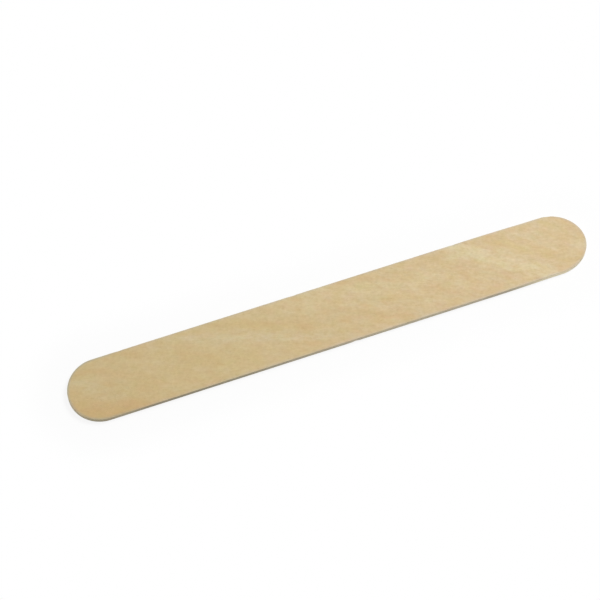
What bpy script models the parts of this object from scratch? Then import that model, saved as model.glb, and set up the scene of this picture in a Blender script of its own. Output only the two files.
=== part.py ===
# Tongue depressor: one flat blade of birch veneer, punched to its outline and tumbled smooth.
# Metres, +Z up. The blade lies flat with its length along X, and the origin is under its middle.

import math

import bmesh
import bpy

# Adult blade, about six inches by eleven sixteenths.
BLADE_LENGTH = 0.150
BLADE_WIDTH = 0.018
BLADE_THICKNESS = 0.0016

# Each end is half an ellipse across the blade. Its nose is how far it runs out past the
# sides, and the right end is a little more pointed than the left.
LEFT_NOSE = 0.0092
RIGHT_NOSE = 0.0101

# The sides are parallel up to the last stretch before the right end. There each draws in
# a little, gently at first and again where it runs into the end.
DRAW_IN = 0.0002
DRAW_IN_REACH = 0.019

# The strip never sits quite square under the punch, so each tip leans a little off the
# middle line, towards -Y where the lean is negative.
LEFT_LEAN = -0.0002
RIGHT_LEAN = -0.0004

# Tumbling takes the sharpness off both rims, where the faces meet the cut side.
RIM_RADIUS = 0.0001

# Fineness of the curves: flats along each half ellipse, along each stretch that draws in,
# and across each rounded rim.
NOSE_FLATS = 56
DRAW_IN_FLATS = 8
RIM_FLATS = 3

# Edges sharper than this are rims. The corners between the flats of an end are far blunter.
RIM_ANGLE = math.radians(60)

# Pale, closed-grained birch, sanded but not varnished.
BIRCH_COLOUR = (0.631, 0.491, 0.275, 1.0)
BIRCH_ROUGHNESS = 0.62


def clear_scene():
    """Remove whatever the scene holds, so that only the blade is left."""
    for existing in list(bpy.data.objects):
        bpy.data.objects.remove(existing, do_unlink=True)


def half_ellipse(centre_x, nose, half_width, lean, start_angle):
    """Points of one rounded end, from one side round to the other."""
    points = []
    for step in range(NOSE_FLATS + 1):
        angle = start_angle + math.pi * step / NOSE_FLATS
        reach = math.cos(angle)
        points.append((centre_x + nose * reach, half_width * math.sin(angle) + lean * reach**2))
    return points


def drawn_in_stretch(end_x, side):
    """Points of one side, from where it starts to draw in to just short of the right end."""
    points = []
    for step in range(DRAW_IN_FLATS):
        share = step / DRAW_IN_FLATS
        eased = share * share * (3 - 2 * share)
        x = end_x - DRAW_IN_REACH * (1 - share)
        points.append((x, side * (BLADE_WIDTH / 2 - DRAW_IN * eased)))
    return points


def blade_outline():
    """The blade seen from above, anticlockwise from the lower corner of its right end."""
    half_width = BLADE_WIDTH / 2
    right_x = BLADE_LENGTH / 2 - RIGHT_NOSE
    left_x = LEFT_NOSE - BLADE_LENGTH / 2
    right_end = half_ellipse(right_x, RIGHT_NOSE, half_width - DRAW_IN, RIGHT_LEAN, -math.pi / 2)
    left_end = half_ellipse(left_x, LEFT_NOSE, half_width, LEFT_LEAN, math.pi / 2)
    upper_side = drawn_in_stretch(right_x, 1)[::-1]
    lower_side = drawn_in_stretch(right_x, -1)
    return right_end + upper_side + left_end + lower_side


def punched_blank():
    """The outline raised to the veneer's thickness, with square rims as it leaves the punch."""
    blank = bmesh.new()
    underside = blank.faces.new([blank.verts.new((x, y, 0.0)) for x, y in blade_outline()])
    raised = bmesh.ops.extrude_face_region(blank, geom=[underside])
    upper_corners = [item for item in raised["geom"] if isinstance(item, bmesh.types.BMVert)]
    bmesh.ops.translate(blank, verts=upper_corners, vec=(0.0, 0.0, BLADE_THICKNESS))
    bmesh.ops.recalc_face_normals(blank, faces=blank.faces)
    mesh = bpy.data.meshes.new("wooden_blade")
    blank.to_mesh(mesh)
    blank.free()
    return mesh


def birch():
    """Bare sanded birch."""
    material = bpy.data.materials.new("birch")
    material.use_nodes = True
    shader = material.node_tree.nodes["Principled BSDF"]
    shader.inputs["Base Color"].default_value = BIRCH_COLOUR
    shader.inputs["Roughness"].default_value = BIRCH_ROUGHNESS
    shader.inputs["Metallic"].default_value = 0.0
    return material


def tumble(blade):
    """Round the two rims that run all the way round the blade, and smooth the shading over them.

    The bevel's own clamp keeps the two rims apart on a blade thinner than twice their radius.
    """
    rounding = blade.modifiers.new("rounded rims", "BEVEL")
    rounding.width = RIM_RADIUS
    rounding.segments = RIM_FLATS
    rounding.limit_method = "ANGLE"
    rounding.angle_limit = RIM_ANGLE
    blade.data.shade_smooth()
    blade.data.set_sharp_from_angle(angle=RIM_ANGLE)


def wooden_blade():
    """The whole tongue depressor, which is this one piece of wood."""
    blade = bpy.data.objects.new("wooden_blade", punched_blank())
    bpy.context.scene.collection.objects.link(blade)
    blade.data.materials.append(birch())
    tumble(blade)
    return blade


clear_scene()
wooden_blade()
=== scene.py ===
import math

import bmesh
import bpy
from mathutils import Matrix, Vector


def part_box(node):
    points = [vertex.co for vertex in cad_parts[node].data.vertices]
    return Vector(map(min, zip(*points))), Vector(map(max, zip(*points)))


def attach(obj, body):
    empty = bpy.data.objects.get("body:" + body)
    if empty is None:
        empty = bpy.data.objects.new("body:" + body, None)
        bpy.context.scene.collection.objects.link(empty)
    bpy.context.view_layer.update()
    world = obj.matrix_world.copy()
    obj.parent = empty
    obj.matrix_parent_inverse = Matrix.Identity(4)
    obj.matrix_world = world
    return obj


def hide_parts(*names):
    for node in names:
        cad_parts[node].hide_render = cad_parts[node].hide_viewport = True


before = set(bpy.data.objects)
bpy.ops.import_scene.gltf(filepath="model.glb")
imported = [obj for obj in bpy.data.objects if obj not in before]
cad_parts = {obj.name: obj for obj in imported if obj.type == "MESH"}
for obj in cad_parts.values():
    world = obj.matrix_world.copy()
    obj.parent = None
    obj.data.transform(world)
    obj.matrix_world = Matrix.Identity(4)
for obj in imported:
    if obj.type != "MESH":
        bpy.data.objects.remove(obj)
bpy.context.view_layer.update()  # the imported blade, in metres, lying flat along X with its underside at z = 0
bpy.ops.object.select_all(action="DESELECT")
print("frame loaded:", sorted(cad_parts))

mm = 0.001
tolerance = 0.01 * mm  # places nearer than this count as one

# Shape of the blade, in metres. Its length, width and thickness come from the frame.
bladeShape = {
    "leftNose": 9.2 * mm,  # how far each rounded end runs out past the sides
    "rightNose": 10.1 * mm,
    "leftLean": -0.2 * mm,  # how far each tip sits off the middle line
    "rightLean": -0.4 * mm,
    "drawIn": 0.2 * mm,  # how much each side draws in before the right-hand end, and over what length
    "drawInReach": 19 * mm,
    "leanReach": 13.5 * mm,  # how far round the tip the lean is spread
    "rimRadius": 0.1 * mm,  # tumbled rims
    "rimFlats": 3,  # over each rounded rim
    "cutFlats": 9,  # up the cut side
    "cornerFlats": 60,  # round half of an end
    "sideFlats": 400,  # along a side
}

# Relief that the knife, the punch and the tumbling leave.
# Each is pressed into the blade, never raised on it.
bladeRelief = {
    "grainAngle": 13,  # degrees that the grain falls towards the right-hand end
    "cloudPlace": (11 * mm, 7 * mm, 3 * mm),  # moved to get another pattern of relief
    "faceDepth": 0.030 * mm,  # long shallow waves along the grain
    "faceWave": (34 * mm, 1.7 * mm, 3 * mm),
    "edgeDepth": 0.020 * mm,  # uneven line of the punched edge
    "edgeWave": (2.6 * mm, 2.6 * mm, 6 * mm),
    "fibreDepth": 0.020 * mm,  # fibres torn along the cut side
    "fibreWave": (1.6 * mm, 0.5 * mm, 0.22 * mm),
    "breakDepth": 0.035 * mm,  # the punch cuts the upper part, and the rest breaks off further in
    "breakHeight": 0.85 * mm,
}

# Small knocks on the rims: place along the blade, which side, upper or lower rim, depth and reach.
# Lengths in mm.
rimKnocks = [
    {"x": -58.0, "side": 1, "upper": True, "depth": 0.08, "reach": 1.2},
    {"x": -33.5, "side": -1, "upper": True, "depth": 0.10, "reach": 1.1},
    {"x": -8.0, "side": 1, "upper": True, "depth": 0.08, "reach": 1.6},
    {"x": 4.0, "side": -1, "upper": False, "depth": 0.12, "reach": 1.2},
    {"x": 39.0, "side": 1, "upper": True, "depth": 0.08, "reach": 1.0},
    {"x": 67.5, "side": 1, "upper": True, "depth": 0.09, "reach": 1.2},
    {"x": 72.6, "side": -1, "upper": True, "depth": 0.08, "reach": 1.0},
    {"x": -72.0, "side": 1, "upper": False, "depth": 0.08, "reach": 1.3},
    {"x": -70.5, "side": -1, "upper": True, "depth": 0.09, "reach": 1.1},
]


def editMesh():
    return bmesh.from_edit_mesh(bpy.context.object.data)


def pick(kind, test):  # select the parts of the edited mesh that pass a test
    bpy.ops.mesh.select_mode(type=kind)
    bpy.ops.mesh.select_all(action="DESELECT")
    mesh = editMesh()
    parts = {"VERT": mesh.verts, "EDGE": mesh.edges, "FACE": mesh.faces}[kind]
    for part in parts:
        if test(part):
            part.select_set(True)
    mesh.select_flush_mode()
    bmesh.update_edit_mesh(bpy.context.object.data)


def pickNearest(target):  # select the one point of the edited mesh that lies nearest to a place
    nearest = min(editMesh().verts, key=lambda vert: (vert.co - target).length)
    pick("VERT", lambda vert: vert == nearest)


def softPull(move, reach):  # pull the selected point, and its neighbours less and less out to the reach
    bpy.ops.transform.translate(
        value=move,
        use_proportional_edit=True,
        proportional_edit_falloff="SMOOTH",
        proportional_size=reach,
    )


def drawOutline(shape, length, halfWidth):
    # a rectangle whose corners are rounded right up to the middle of each short side
    straightLeft = -length / 2 + shape["leftNose"]
    straightRight = length / 2 - shape["rightNose"]
    middle = (straightLeft + straightRight) / 2
    bpy.ops.mesh.primitive_plane_add(size=2 * halfWidth, location=(middle, 0, 0))
    bpy.ops.object.transform_apply(location=True)
    bpy.ops.object.mode_set(mode="EDIT")
    bpy.ops.mesh.select_all(action="SELECT")
    stretch = (straightRight - straightLeft + 2 * halfWidth) / (2 * halfWidth)
    bpy.ops.transform.resize(value=(stretch, 1, 1), center_override=(middle, 0, 0))
    bpy.ops.mesh.bevel(offset=halfWidth, segments=shape["cornerFlats"], affect="VERTICES")
    bpy.ops.mesh.select_all(action="SELECT")
    bpy.ops.mesh.remove_doubles(threshold=tolerance)
    bpy.ops.mesh.select_all(action="SELECT")
    bpy.ops.mesh.delete(type="ONLY_FACE")
    pick("EDGE", lambda edge: edge.calc_length() > halfWidth)
    quarters = 4  # two steps, because one step takes 100 cuts at most
    bpy.ops.mesh.subdivide(number_cuts=quarters - 1)
    bpy.ops.mesh.subdivide(number_cuts=shape["sideFlats"] // quarters - 1)
    shapeNose(shape, "right", straightRight, halfWidth, 1)
    shapeNose(shape, "left", straightLeft, halfWidth, -1)
    pick("VERT", lambda vert: vert.co.x > straightRight - tolerance)
    bpy.ops.transform.resize(
        value=(1, 1 - shape["drawIn"] / halfWidth, 1),
        center_override=(straightRight, 0, 0),
        use_proportional_edit=True,
        proportional_edit_falloff="SMOOTH",
        proportional_size=shape["drawInReach"],
    )


def shapeNose(shape, end, centre, halfWidth, way):  # a round end drawn out, with its tip leant over
    nose, lean = shape[end + "Nose"], shape[end + "Lean"]
    pick("VERT", lambda vert: (vert.co.x - centre) * way > tolerance)
    bpy.ops.transform.resize(value=(nose / halfWidth, 1, 1), center_override=(centre, 0, 0))
    pickNearest(Vector((centre + nose * way, 0, 0)))
    softPull((0, lean, 0), shape["leanReach"])


def rise(edge):  # how far an edge climbs
    return abs(edge.verts[0].co.z - edge.verts[1].co.z)


def raiseBlank(shape, thickness):  # the outline filled and raised, then both rims rounded
    bpy.ops.mesh.select_mode(type="VERT")
    bpy.ops.mesh.select_all(action="SELECT")
    bpy.ops.mesh.edge_face_add()
    bpy.ops.mesh.extrude_region_move(TRANSFORM_OT_translate={"value": (0, 0, thickness)})
    bpy.ops.mesh.select_all(action="SELECT")
    bpy.ops.mesh.normals_make_consistent(inside=False)
    pick("EDGE", lambda edge: rise(edge) < tolerance)
    bpy.ops.mesh.bevel(offset=shape["rimRadius"], segments=shape["rimFlats"], affect="EDGES")


def divideSide(shape, thickness):  # the plain cut side gets rows between its two rims
    pick("EDGE", lambda edge: rise(edge) > thickness / 2)
    bpy.ops.mesh.subdivide(number_cuts=shape["cutFlats"] - 1)


def gridFace(shape, length, halfWidth, height):
    # the plain face at this height becomes an even grid that can carry relief,
    # with one corner half way between the side and the tip
    manySided = 4  # corners that every other face has at most
    pick("FACE", lambda face: len(face.verts) > manySided and abs(face.verts[0].co.z - height) < tolerance)
    bpy.ops.mesh.delete(type="ONLY_FACE")
    pick("EDGE", lambda edge: edge.is_boundary)
    half = math.sqrt(0.5)
    place = Vector((length / 2 - shape["rightNose"] * (1 - half), halfWidth * half, height))
    mesh = editMesh()
    rim = [vert for vert in mesh.verts if vert.select]
    mesh.select_history.add(min(rim, key=lambda vert: (vert.co - place).length))
    bpy.ops.mesh.fill_grid(span=shape["cornerFlats"])


def knockRim(knock, halfWidth, thickness):  # one small bruise, pressed into a rim
    place = Vector((knock["x"] * mm, knock["side"] * halfWidth, thickness if knock["upper"] else 0))
    pickNearest(place)
    lengthwise, upright = 0.15, 10  # weights of the push along the blade and through it
    push = Vector((-place.x * lengthwise, -place.y, (thickness / 2 - place.z) * upright)).normalized()
    softPull(push * knock["depth"] * mm, knock["reach"] * mm)


def pressRelief(blade, name, group, direction, depth, wave, roughness, turn=0):
    # clouds stretched to the size of one wave, through an empty that is taken away again
    place = bladeRelief["cloudPlace"]
    bpy.ops.object.empty_add(location=place, rotation=(0, 0, math.radians(turn)))
    spacing = bpy.context.object
    spacing.scale = wave
    clouds = bpy.data.textures.new(name, "CLOUDS")
    clouds.noise_scale = 1.0
    clouds.noise_depth = roughness
    press = blade.modifiers.new(name, "DISPLACE")
    press.texture = clouds
    press.texture_coords = "OBJECT"
    press.texture_coords_object = spacing
    press.vertex_group = group
    press.direction = direction
    press.mid_level = 1.0 if depth > 0 else 0.0
    press.strength = abs(depth)
    bpy.context.view_layer.objects.active = blade
    bpy.ops.object.modifier_apply(modifier=name)
    bpy.data.objects.remove(spacing)


def groupPoints(blade, name, test):
    group = blade.vertex_groups.new(name=name)
    group.add([vert.index for vert in blade.data.vertices if test(vert.co)], 1.0, "REPLACE")


def makeBlade(shape, relief):
    low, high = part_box("wooden_blade")
    length, halfWidth, thickness = high.x - low.x, (high.y - low.y) / 2, high.z - low.z
    drawOutline(shape, length, halfWidth)
    raiseBlank(shape, thickness)
    divideSide(shape, thickness)
    gridFace(shape, length, halfWidth, thickness)
    gridFace(shape, length, halfWidth, 0)
    for knock in rimKnocks:
        knockRim(knock, halfWidth, thickness)
    bpy.ops.mesh.select_all(action="SELECT")
    bpy.ops.mesh.normals_make_consistent(inside=False)
    bpy.ops.object.mode_set(mode="OBJECT")
    blade = bpy.context.object
    blade.name = "birchBlade"
    blade.data.name = "birchBlade"
    rim, turn = shape["rimRadius"], -relief["grainAngle"]
    groupPoints(blade, "upperFace", lambda point: point.z > thickness - rim / 2)
    groupPoints(blade, "underFace", lambda point: point.z < rim / 2)
    groupPoints(blade, "cutSide", lambda point: rim / 4 < point.z < thickness - rim / 4)
    groupPoints(blade, "brokenSide", lambda point: rim / 2 < point.z < relief["breakHeight"])
    pressRelief(blade, "upperGrain", "upperFace", "Z", relief["faceDepth"], relief["faceWave"], 2, turn)
    pressRelief(blade, "underGrain", "underFace", "Z", -relief["faceDepth"], relief["faceWave"], 2, turn)
    pressRelief(blade, "punchedLine", "cutSide", "NORMAL", relief["edgeDepth"], relief["edgeWave"], 1)
    pressRelief(blade, "tornFibres", "cutSide", "NORMAL", relief["fibreDepth"], relief["fibreWave"], 1)
    pressRelief(blade, "punchBreak", "brokenSide", "NORMAL", relief["breakDepth"], relief["edgeWave"], 2)
    bpy.ops.object.shade_smooth()
    print("blade modelled:", len(blade.data.polygons), "faces")
    return blade


class Wire:  # one value inside a material, so that shader sums read as ordinary sums
    def __init__(self, tree, socket=None):
        self.tree = tree
        self.socket = socket

    def node(self, kind, settings=None, sockets=None, output=0):
        made = self.tree.nodes.new(kind)
        for name, value in (settings or {}).items():
            setattr(made, name, value)
        for name, value in (sockets or {}).items():
            if isinstance(value, Wire):
                self.tree.links.new(value.socket, made.inputs[name])
            else:
                made.inputs[name].default_value = value
        return Wire(self.tree, made.outputs[output])

    def maths(self, operation, *values):
        return self.node("ShaderNodeMath", {"operation": operation}, dict(enumerate(values)))

    def __add__(self, other):
        return self.maths("ADD", self, other)

    __radd__ = __add__

    def __sub__(self, other):
        return self.maths("SUBTRACT", self, other)

    def __rsub__(self, other):
        return self.maths("SUBTRACT", other, self)

    def __mul__(self, other):
        return self.maths("MULTIPLY", self, other)

    __rmul__ = __mul__

    def __truediv__(self, other):
        return self.maths("DIVIDE", self, other)

    def __pow__(self, other):
        return self.maths("POWER", self, other)

    def __neg__(self):
        return self.maths("MULTIPLY", self, -1.0)

    def __abs__(self):
        return self.maths("ABSOLUTE", self)

    def atLeast(self, other):
        return self.maths("MAXIMUM", self, other)

    def bell(self, reach):  # 1 at zero, falling smoothly to nothing past the reach
        steps = self / reach
        return self.maths("EXPONENT", -(steps * steps))

    def ramp(self, low, high):  # 0 below low, 1 above high, smooth between
        sockets = {"Value": self, "From Min": low, "From Max": high}
        return self.node("ShaderNodeMapRange", {"interpolation_type": "SMOOTHSTEP"}, sockets)

    def mixed(self, first, second):  # first colour where this is 0, second where it is 1
        return self.node("ShaderNodeMix", {"data_type": "RGBA"}, {0: self, 6: first, 7: second}, output=2)

    def tinted(self, colour, tint):  # the colour multiplied by a tint as far as this reaches
        settings = {"data_type": "RGBA", "blend_type": "MULTIPLY"}
        return self.node("ShaderNodeMix", settings, {0: self, 6: colour, 7: tint}, output=2)

    def times(self, colour):  # a colour made lighter or darker by this
        return self.node("ShaderNodeVectorMath", {"operation": "SCALE"}, {0: colour, "Scale": self})


# Colours are linear. Places and sizes on the blade are in mm,
# with x along it, y across it and z up through it.
birchLook = {
    "leftColour": (0.609, 0.467, 0.232, 1),  # honey at the left-hand end, darker there partly as painted shade of light falling off towards it
    "rightColour": (0.661, 0.505, 0.279, 1),  # straw at the right-hand end, lighter there partly as painted light
    "cutColourAndShade": (0.530, 0.445, 0.275, 1),  # the cut side at the left tip, lighter there as painted light
    "figureAngle": 28,  # degrees that the figure falls towards the right-hand end, half way along
    "figureCurve": 0.0009,  # how much the figure bends along the blade
    "figureSlant": (2.5, 0.9),  # how far it moves along and across for each mm of depth
    "figureBend": 0.8,  # how far a slow drift moves it across, and how far a quick one does
    "figureFray": 1.1,
    "grainBend": 0.6,  # how far the slow drift moves the grain across
    "hueChange": 0.8,  # how strongly the wood wanders between warm and cool
    "vesselLevels": (0.46, 0.64),  # levels of its noise between which a vessel starts
    "rimFade": (0.15, 0.80),  # how far in from the outline the rim's painted sheen starts and ends to fade
    "tipFade": (-72.0, -52.0),  # the same for the greyed tip, along the blade
    "cutFade": (0.02, 0.12),  # the same for the cut side, in from the outline
    "cutFromFace": (0.06, 0.22),  # how far under each face the dark of the cut side, brown and painted shade, comes in
    "breakFade": 0.08,  # half the height over which the cut gives way to the break
    "breakWander": 0.25,  # how far the flecks move that line up and down
    "breakTone": 0.14,  # how much lighter the broken part is
    "livelyFade": (-40.0, 40.0),  # places between which the noises change to their right-hand tones
    "fineShares": (0.84, 1.0, 1.35),  # how much of the grain shows in red, green and blue
    "broadShares": (0.62, 1.0, 1.8),  # and how much of the figure
    "rimSheenStreaks": 0.5,  # how far the streaks make the painted sheen on the rim uneven, and the flecks the greyed tip
    "tipGreyFlecks": 0.8,
    "cutTones": {"fibres": 0.25, "streaks": 0.12},  # how far these lighten the cut side
    "bumpTones": {"streaks": 0.5, "fibres": 0.35, "hairs": 0.30, "vessels": -1.0},  # heights in the bump
    "bumpStrength": 0.45,
    "bumpDepth": 0.00003,  # in metres
    "roughness": 0.60,
    "roughTones": {"streaks": 0.05, "vessels": 0.08, "rim": -0.06, "break": 0.14},  # what each adds to it
}

# Noises in the wood: the size of a patch along, across and through it, the seed, the octaves of detail
# and their roughness.
woodNoises = {
    "slow": {"size": (16, 7, 5), "seed": 1, "detail": 2.0, "roughness": 0.5},
    "quick": {"size": (2.6, 0.8, 1.5), "seed": 7, "detail": 3.0, "roughness": 0.5},
    "hue": {"size": (6, 2.2, 4), "seed": 8, "detail": 1.0, "roughness": 0.5},
    "mottle": {"size": (3.4, 1.3, 3), "seed": 2, "detail": 3.0, "roughness": 0.6},
    "blush": {"size": (3.4, 2.3, 3), "seed": 10, "detail": 3.0, "roughness": 0.5},
    "haze": {"size": (3.0, 2.1, 3), "seed": 11, "detail": 3.0, "roughness": 0.5},
    "clouding": {"size": (14, 5, 4), "seed": 3, "detail": 2.0, "roughness": 0.5},
    "streaks": {"size": (14, 0.42, 0.42), "seed": 4, "detail": 3.0, "roughness": 0.6},
    "flecks": {"size": (0.86, 0.80, 0.6), "seed": 9, "detail": 3.0, "roughness": 0.55},
    "fibres": {"size": (2.2, 0.11, 0.11), "seed": 5, "detail": 2.0, "roughness": 0.5},
    "hairs": {"size": (3.5, 0.045, 0.045), "seed": 12, "detail": 1.0, "roughness": 0.5},
    "vessels": {"size": (1.2, 0.075, 0.075), "seed": 6, "detail": 0.0, "roughness": 0.5},
}

# How strongly each noise shows towards the left-hand and towards the right-hand end.
woodTones = {
    "mottle": (0.070, 0.138),
    "blush": (0.026, 0.036),
    "haze": (0.090, 0.126),
    "clouding": (0.035, 0.035),
    "streaks": (0.007, 0.050),
    "flecks": (0.104, 0.114),
    "fibres": (0.041, 0.041),
    "hairs": (0.082, 0.082),
    "vessels": (-0.136, -0.136),
}

# The cut side's colour along the blade: partly the brown of the punch, partly painted shade, and lighter in
# stretches as painted light, palest short of the right-hand end.
# Each colour takes over from the one before it between two places.
cutColoursAndShade = [
    {"start": -74.5, "end": -69.5, "colour": (0.390, 0.336, 0.213, 1)},
    {"start": -64.0, "end": -52.0, "colour": (0.300, 0.260, 0.166, 1)},
    {"start": -47.0, "end": 15.0, "colour": (0.510, 0.450, 0.315, 1)},
    {"start": 37.0, "end": 47.0, "colour": (0.430, 0.380, 0.268, 1)},
    {"start": 48.0, "end": 62.0, "colour": (0.830, 0.737, 0.510, 1)},
    {"start": 65.0, "end": 72.0, "colour": (0.670, 0.583, 0.403, 1)},
]

# What a band of figure, the painted sheen on the rim or the greyer tip does to the red, green and blue of the
# wood under it.
woodTints = {
    "pale": (1.065, 1.125, 1.19, 1),
    "cool": (1.00, 1.035, 1.11, 1),
    "olive": (0.975, 0.97, 0.88, 1),
    "warm": (0.99, 0.915, 0.87, 1),
    # painted sheen: the eased rim's reflection of the white surround, greyer and bluer
    "rim": (0.935, 0.985, 1.16, 1),
    "tip": (0.86, 0.93, 1.03, 1),
}

# Soft bands in the figure: both ends of each in mm, its half width, and how strongly it shows.
figureBands = [
    {"tint": "pale", "start": (32.5, 12.6), "end": (67.0, -12.3), "width": 2.0, "amount": 1.25},
    {"tint": "pale", "start": (52, 9), "end": (68, 1.5), "width": 1.2, "amount": 0.30},
    {"tint": "olive", "start": (48, 8.0), "end": (67, -5.5), "width": 1.4, "amount": 1.00},
    {"tint": "cool", "start": (-45, 8.4), "end": (3.5, -7.6), "width": 1.4, "amount": 0.90},
    {"tint": "pale", "start": (-34, 4.6), "end": (-2, -6.4), "width": 0.6, "amount": 0.35},
    {"tint": "olive", "start": (-33, 8.5), "end": (-4, -2), "width": 1.2, "amount": 0.75},
    {"tint": "cool", "start": (-74, 5), "end": (-58, -5), "width": 2.6, "amount": 0.80},
    {"tint": "warm", "start": (-82, -2.5), "end": (-50, -10.5), "width": 2.6, "amount": 1.15},
    {"tint": "warm", "start": (-75, 7), "end": (-62, 4.5), "width": 0.8, "amount": 0.50},
    {"tint": "warm", "start": (2, 9), "end": (17, 6), "width": 0.9, "amount": 0.55},
    {"tint": "warm", "start": (-2, 2.5), "end": (8, -1.5), "width": 0.8, "amount": 0.45},
    {"tint": "olive", "start": (6, -1), "end": (16, -4.5), "width": 0.7, "amount": 0.70},
    {"tint": "olive", "start": (13, 0.5), "end": (24, -2), "width": 0.7, "amount": 0.60},
    {"tint": "warm", "start": (12, -4), "end": (21, -8.5), "width": 1.0, "amount": 0.80},
    {"tint": "olive", "start": (-44, 1.5), "end": (-20, -7), "width": 2.0, "amount": 0.55},
    {"tint": "pale", "start": (-24, 10.5), "end": (38, 0), "width": 3.4, "amount": 0.34},
    {"tint": "pale", "start": (2, 2.5), "end": (20, -3), "width": 1.4, "amount": 0.30},
    {"tint": "olive", "start": (3, 7.5), "end": (14, 4.5), "width": 1.3, "amount": 0.70},
    {"tint": "warm", "start": (-67, 5), "end": (-56, 0.5), "width": 1.4, "amount": 0.45},
    {"tint": "olive", "start": (-82, -3.5), "end": (-56, -10.5), "width": 2.4, "amount": 0.60},
]


class Wood:  # places in the wood, in mm, and the noises that are read there
    seedShift = (13.7, 5.3)  # how far apart the seeds are read, along and across
    spread = 2.4  # takes a noise of about 0.1 to 0.9 to about -1 to 1

    def __init__(self, tree):
        place = Wire(tree).node("ShaderNodeTexCoord", output="Object")
        place = place.node("ShaderNodeVectorMath", {"operation": "SCALE"}, {0: place, "Scale": 1000.0})
        parts = place.node("ShaderNodeSeparateXYZ", {}, {0: place}).socket.node.outputs
        self.x, self.y, self.z = (Wire(tree, parts[axis]) for axis in "XYZ")

    def turned(self, x, y, angle):
        # distances along and across a direction that falls towards the right-hand end
        slope = math.radians(angle)
        return x * math.cos(slope) - y * math.sin(slope), x * math.sin(slope) + y * math.cos(slope)

    def noise(self, name, x, y):
        look = woodNoises[name]
        sizeX, sizeY, sizeZ = look["size"]
        shiftX, shiftY = (look["seed"] * shift for shift in self.seedShift)
        parts = {0: x / sizeX + shiftX, 1: y / sizeY + shiftY, 2: self.z / sizeZ}
        place = self.x.node("ShaderNodeCombineXYZ", {}, parts)
        sockets = {"Vector": place, "Scale": 1.0, "Detail": look["detail"], "Roughness": look["roughness"]}
        return (place.node("ShaderNodeTexNoise", {}, sockets) - 0.5) * self.spread


def bandMask(x, y, band):  # a soft band between two points
    (startX, startY), (endX, endY) = band["start"], band["end"]
    length = math.hypot(endX - startX, endY - startY)
    alongX, alongY = (endX - startX) / length, (endY - startY) / length
    middleX, middleY = (startX + endX) / 2, (startY + endY) / 2
    along = (x - middleX) * alongX + (y - middleY) * alongY
    across = (y - middleY) * alongX - (x - middleX) * alongY
    fadeStart, fadeEnd = length * 0.30, length * 0.58
    ends = 1 - abs(along).ramp(fadeStart, fadeEnd)
    return across.bell(band["width"]) * ends * band["amount"]


def insideOutline(wood, shape):  # how far in from the blade's outline, in mm
    low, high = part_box("wooden_blade")
    leftEnd, rightEnd = (low.x + shape["leftNose"]) / mm, (high.x - shape["rightNose"]) / mm
    drawnIn = wood.x.ramp(rightEnd - shape["drawInReach"] / mm, rightEnd) * (shape["drawIn"] / mm)
    halfWidth = high.y / mm - drawnIn
    pastLeft = (leftEnd - wood.x).atLeast(0.0) / (shape["leftNose"] / mm)
    pastRight = (wood.x - rightEnd).atLeast(0.0) / (shape["rightNose"] / mm)
    lean = pastLeft * pastLeft * (shape["leftLean"] / mm)
    lean = lean + pastRight * pastRight * (shape["rightLean"] / mm)
    past, aside = pastLeft + pastRight, (wood.y - lean) / halfWidth
    return halfWidth * (1 - (past * past + aside * aside) ** 0.5)


def figureColour(wood, look, flowX, flowY, mottle):  # the wood's colour, darker towards the left-hand end partly as painted shade, with the bands of its figure
    low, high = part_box("wooden_blade")
    ground = wood.x.ramp(low.x / mm, high.x / mm).mixed(look["leftColour"], look["rightColour"])
    for band in figureBands:
        mask = bandMask(flowX, flowY, band) * (1 + mottle)
        ground = mask.tinted(ground, woodTints[band["tint"]])
    return ground


def blend(layers, weights):  # those layers that have a weight, added up by it
    return sum(weights[name] * layer for name, layer in layers.items() if name in weights)


def cutColourAndShade(x, look):  # the cut side's colour along the blade, with its painted shade and painted light
    cut = look["cutColourAndShade"]
    for patch in cutColoursAndShade:
        cut = x.ramp(patch["start"], patch["end"]).mixed(cut, patch["colour"])
    return cut


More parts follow.
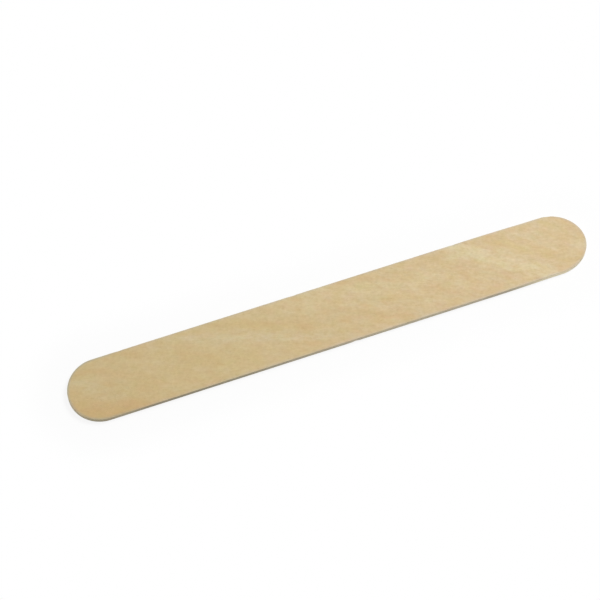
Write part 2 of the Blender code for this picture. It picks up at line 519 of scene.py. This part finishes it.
def birchMaterial(look, shape, relief):
    material = bpy.data.materials.new("birch")
    material.use_nodes = True
    tree = material.node_tree
    shader = tree.nodes["Principled BSDF"]
    wood = Wood(tree)
    x, y, z = wood.x, wood.y, wood.z
    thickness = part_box("wooden_blade")[1].z / mm
    rising = x.ramp(*look["livelyFade"])
    tone = {name: left + (right - left) * rising for name, (left, right) in woodTones.items()}

    # the figure slants through the thickness, and a slow and a quick drift bend and fray it
    slow = wood.noise("slow", x, y)
    quick = wood.noise("quick", x, y)
    slantX, slantY = look["figureSlant"]
    flowX = x + (z - thickness) * slantX
    flowY = y + (z - thickness) * slantY + slow * look["figureBend"] + quick * look["figureFray"]
    along, across = wood.turned(flowX, y, look["figureAngle"])
    across = across + look["figureCurve"] * x * x
    mottle = wood.noise("mottle", along, across)
    hue = wood.noise("hue", along, across) * look["hueChange"]
    blush = wood.noise("blush", along, across) * tone["blush"]
    haze = wood.noise("haze", along, across) * tone["haze"]
    clouding = wood.noise("clouding", x, y)

    # streaks, flecks, fibres, hairs of fibre and vessels lie along the grain
    along, across = wood.turned(x, y + slow * look["grainBend"], relief["grainAngle"])
    names = ("streaks", "flecks", "fibres", "hairs", "vessels")
    grain = {name: wood.noise(name, along, across) for name in names}
    grain["vessels"] = grain["vessels"].ramp(*look["vesselLevels"])

    ground = figureColour(wood, look, flowX, flowY, mottle)
    ground = hue.tinted(ground, woodTints["warm"])
    ground = (-hue).tinted(ground, woodTints["cool"])

    # the rim is greyed and blued as a painted sheen of the eased edge, more so and darker round the left-hand
    # tip; the cut side is partly brown from the punch and partly painted shade, with stretches of painted light
    inward = insideOutline(wood, shape)
    rim = 1 - inward.ramp(*look["rimFade"])
    tip = 1 - x.ramp(*look["tipFade"])
    ground = (rim * (1 + look["rimSheenStreaks"] * grain["streaks"])).tinted(ground, woodTints["rim"])
    ground = (rim * tip * (1 + look["tipGreyFlecks"] * grain["flecks"])).tinted(ground, woodTints["tip"])
    shallow, deep = look["cutFromFace"]
    nearFace = abs(z - thickness / 2).ramp(thickness / 2 - deep, thickness / 2 - shallow)
    cutSide = (1 - inward.ramp(*look["cutFade"])) * (1 - nearFace)
    breakHeight, fade = relief["breakHeight"] / mm, look["breakFade"]
    broken = 1 - (z + look["breakWander"] * grain["flecks"]).ramp(breakHeight - fade, breakHeight + fade)
    cutTone = 1 + look["breakTone"] * broken + blend(grain, look["cutTones"])
    # the cut side gets its colour here: brown, with painted shade and stretches of painted light
    ground = cutSide.mixed(ground, cutTone.times(cutColourAndShade(x, look)))

    # the noises darken or lighten each channel by its share, so that light patches are paler too
    fine = blend(grain, tone)
    broad = blend({"mottle": mottle, "clouding": clouding}, tone)
    red, green, blue = (
        1 + fineShare * fine + broadShare * broad
        for fineShare, broadShare in zip(look["fineShares"], look["broadShares"])
    )
    parts = {0: red + blush, 1: green - blush, 2: blue + haze}
    shade = fine.node("ShaderNodeCombineXYZ", {}, parts)
    colour = shade.node("ShaderNodeVectorMath", {"operation": "MULTIPLY"}, {0: shade, 1: ground})
    tree.links.new(colour.socket, shader.inputs["Base Color"])

    worn = {"rim": rim, "break": cutSide * broken}
    rough = look["roughness"] + blend(grain, look["roughTones"]) + blend(worn, look["roughTones"])
    tree.links.new(rough.socket, shader.inputs["Roughness"])

    height = blend(grain, look["bumpTones"])
    sockets = {"Strength": look["bumpStrength"], "Distance": look["bumpDepth"], "Height": height}
    bump = height.node("ShaderNodeBump", {}, sockets)
    tree.links.new(bump.socket, shader.inputs["Normal"])
    return material


# The camera looks down on the blade from in front and a little to its left. Angles in degrees.
cameraSetup = {
    "elevation": 65.7,
    "azimuth": -19.82,
    "roll": 0.56,
    "distance": 0.6333,  # from the point it is aimed at, in metres as that is
    "aim": (-0.006123, 0.00773, 0),
    "sensor": 36,  # in mm, like the lens
    "lens": 137.93,
    "nearest": 0.01,  # what is nearer to it in metres isn't drawn
}


def addCamera(setup):
    raised, turned, rolled = (math.radians(setup[name]) for name in ("elevation", "azimuth", "roll"))
    flat = math.cos(raised)
    back = Vector((math.sin(turned) * flat, -math.cos(turned) * flat, math.sin(raised)))
    level = Vector((math.cos(turned), math.sin(turned), 0))
    upright = back.cross(level)
    right = math.cos(rolled) * level + math.sin(rolled) * upright
    up = math.cos(rolled) * upright - math.sin(rolled) * level
    bpy.ops.object.camera_add()
    camera = bpy.context.object
    axes = Matrix((right, up, back)).transposed().to_4x4()
    camera.matrix_world = Matrix.Translation(Vector(setup["aim"]) + back * setup["distance"]) @ axes
    camera.data.sensor_width = setup["sensor"]
    camera.data.lens = setup["lens"]
    camera.data.clip_start = setup["nearest"]
    bpy.context.scene.camera = camera
    print("camera set")


lightSetup = {
    "ambient": 0.45,  # strength of the even white light from all round
    "boxPlace": (0.75, 0.25, 0.95),  # softbox beyond the right-hand end
    "boxSize": 0.55,
    "boxPower": 10.0,
    "floorColour": (0.97, 0.97, 0.97, 1),
    "floorRoughness": 0.9,
    "floorGlow": 0.86,  # how far the floor beside the blade is lifted to white where it is only seen
    "glowMiddle": 0.066,  # half the length that this is measured from, along the blade's middle line
    "shadowStart": 0.012,  # how far from it the floor starts to lift further, and where it is white
    "shadowReach": 0.024,
    "floorReach": 3.0,
    "floorDrop": 0.02 * mm,  # keeps the floor just clear of the underside
}


def seenRay(start):
    # 1 for what the camera, a reflection or a clear surface looks at, 0 for light that falls on things
    outputs = start.node("ShaderNodeLightPath").socket.node.outputs
    rays = ("Camera", "Glossy", "Transmission")
    camera, glossy, clear = (Wire(start.tree, outputs[f"Is {ray} Ray"]) for ray in rays)
    return camera.atLeast(glossy).atLeast(clear)


def addSurround(setup):
    world = bpy.data.worlds.new("surround")
    bpy.context.scene.world = world
    world.use_nodes = True
    strength = seenRay(Wire(world.node_tree)) * (1 - setup["ambient"]) + setup["ambient"]
    background = world.node_tree.nodes["Background"]
    background.inputs["Color"].default_value = (1, 1, 1, 1)
    world.node_tree.links.new(strength.socket, background.inputs["Strength"])


def addSoftbox(setup):
    bpy.ops.object.light_add(type="AREA", location=setup["boxPlace"])
    box = bpy.context.object
    box.rotation_euler = (-Vector(setup["boxPlace"])).to_track_quat("-Z", "Y").to_euler()
    box.data.shape = "DISK"
    box.data.size = setup["boxSize"]
    box.data.energy = setup["boxPower"]


def addFloor(setup):
    bpy.ops.mesh.primitive_plane_add(size=setup["floorReach"] * 2, location=(0, 0, -setup["floorDrop"]))
    floor = bpy.context.object
    floor.name = "floor"
    material = bpy.data.materials.new("paperSweep")
    material.use_nodes = True
    tree = material.node_tree
    paper = tree.nodes["Principled BSDF"]
    paper.inputs["Base Color"].default_value = setup["floorColour"]
    paper.inputs["Roughness"].default_value = setup["floorRoughness"]
    paper.inputs["Specular IOR Level"].default_value = 0.0
    start = Wire(tree)
    glow = start.node("ShaderNodeEmission", {}, {"Color": (1, 1, 1, 1), "Strength": 1.0})
    place = start.node("ShaderNodeTexCoord", output="Object")
    parts = place.node("ShaderNodeSeparateXYZ", {}, {0: place}).socket.node.outputs
    x, y = Wire(tree, parts["X"]), Wire(tree, parts["Y"])
    pastEnd = (abs(x) - setup["glowMiddle"]).atLeast(0.0)
    away = ((pastEnd * pastEnd + y * y) ** 0.5).ramp(setup["shadowStart"], setup["shadowReach"])
    lifted = seenRay(start) * (setup["floorGlow"] + (1 - setup["floorGlow"]) * away)
    shown = start.node("ShaderNodeMixShader", {}, {0: lifted, 1: Wire(tree, paper.outputs[0]), 2: glow})
    tree.links.new(shown.socket, tree.nodes["Material Output"].inputs["Surface"])
    floor.data.materials.append(material)
    print("floor and light set")


addCamera(cameraSetup)
addSurround(lightSetup)
addSoftbox(lightSetup)
addFloor(lightSetup)

blade = makeBlade(bladeShape, bladeRelief)
blade.data.materials.append(birchMaterial(birchLook, bladeShape, bladeRelief))
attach(blade, "root")
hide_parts("wooden_blade")
print("blade finished")

bpy.context.scene.view_settings.view_transform = "Standard"
